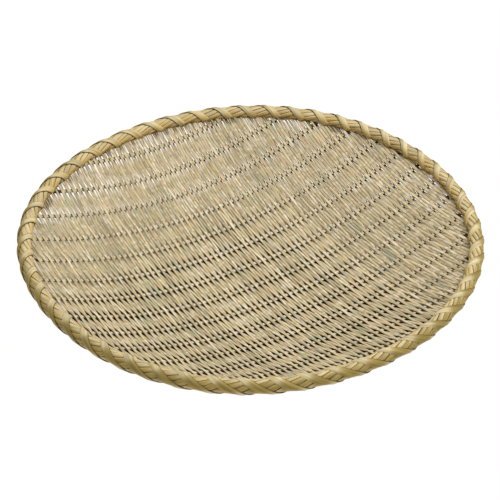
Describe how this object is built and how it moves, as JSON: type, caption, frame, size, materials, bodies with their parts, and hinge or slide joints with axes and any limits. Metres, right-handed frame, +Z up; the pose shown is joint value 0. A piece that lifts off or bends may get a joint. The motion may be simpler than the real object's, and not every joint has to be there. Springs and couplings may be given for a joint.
{
  "type": "bamboo tray basket",
  "caption": "Round shallow woven bamboo basket with a bound rim, for draining, drying and serving food",
  "frame": {"origin": "the point of the resting plane under the middle of the dish", "axes": "+Z is up, out of the mouth of the dish. The stakes run 31 degrees to the left of +X in plan, and the wefts run square to them"},
  "size_m": [0.3598, 0.36, 0.05],
  "materials": {
    "weft": "fine split bamboo strips, matt to satin, beige with peach and grey-green strips",
    "stake": "flat split bamboo, matt, pale beige",
    "hoop": "split bamboo, satin, light brown",
    "binding": "smooth bamboo skin, satin, yellow-olive"
  },
  "bodies": {
    "root": {"stake_01": "stake", "stake_02": "stake", "stake_03": "stake", "stake_04": "stake", "stake_05": "stake", "stake_06": "stake", "stake_07": "stake", "stake_08": "stake", "stake_09": "stake", "stake_10": "stake", "stake_11": "stake", "stake_12": "stake", "stake_13": "stake", "stake_14": "stake", "weft_01": "weft", "weft_02": "weft", "weft_03": "weft", "weft_04": "weft", "weft_05": "weft", "weft_06": "weft", "weft_07": "weft", "weft_08": "weft", "weft_09": "weft", "weft_10": "weft", "weft_11": "weft", "weft_12": "weft", "weft_13": "weft", "weft_14": "weft", "weft_15": "weft", "weft_16": "weft", "weft_17": "weft", "weft_18": "weft", "weft_19": "weft", "weft_20": "weft", "weft_21": "weft", "weft_22": "weft", "weft_23": "weft", "weft_24": "weft", "weft_25": "weft", "weft_26": "weft", "weft_27": "weft", "weft_28": "weft", "weft_29": "weft", "weft_30": "weft", "weft_31": "weft", "weft_32": "weft", "weft_33": "weft", "weft_34": "weft", "weft_35": "weft", "inner_hoop": "hoop", "outer_hoop": "hoop", "rim_core": "hoop", "rim_bundle": "binding", "rim_band": "binding"}
  },
  "joints": []
}
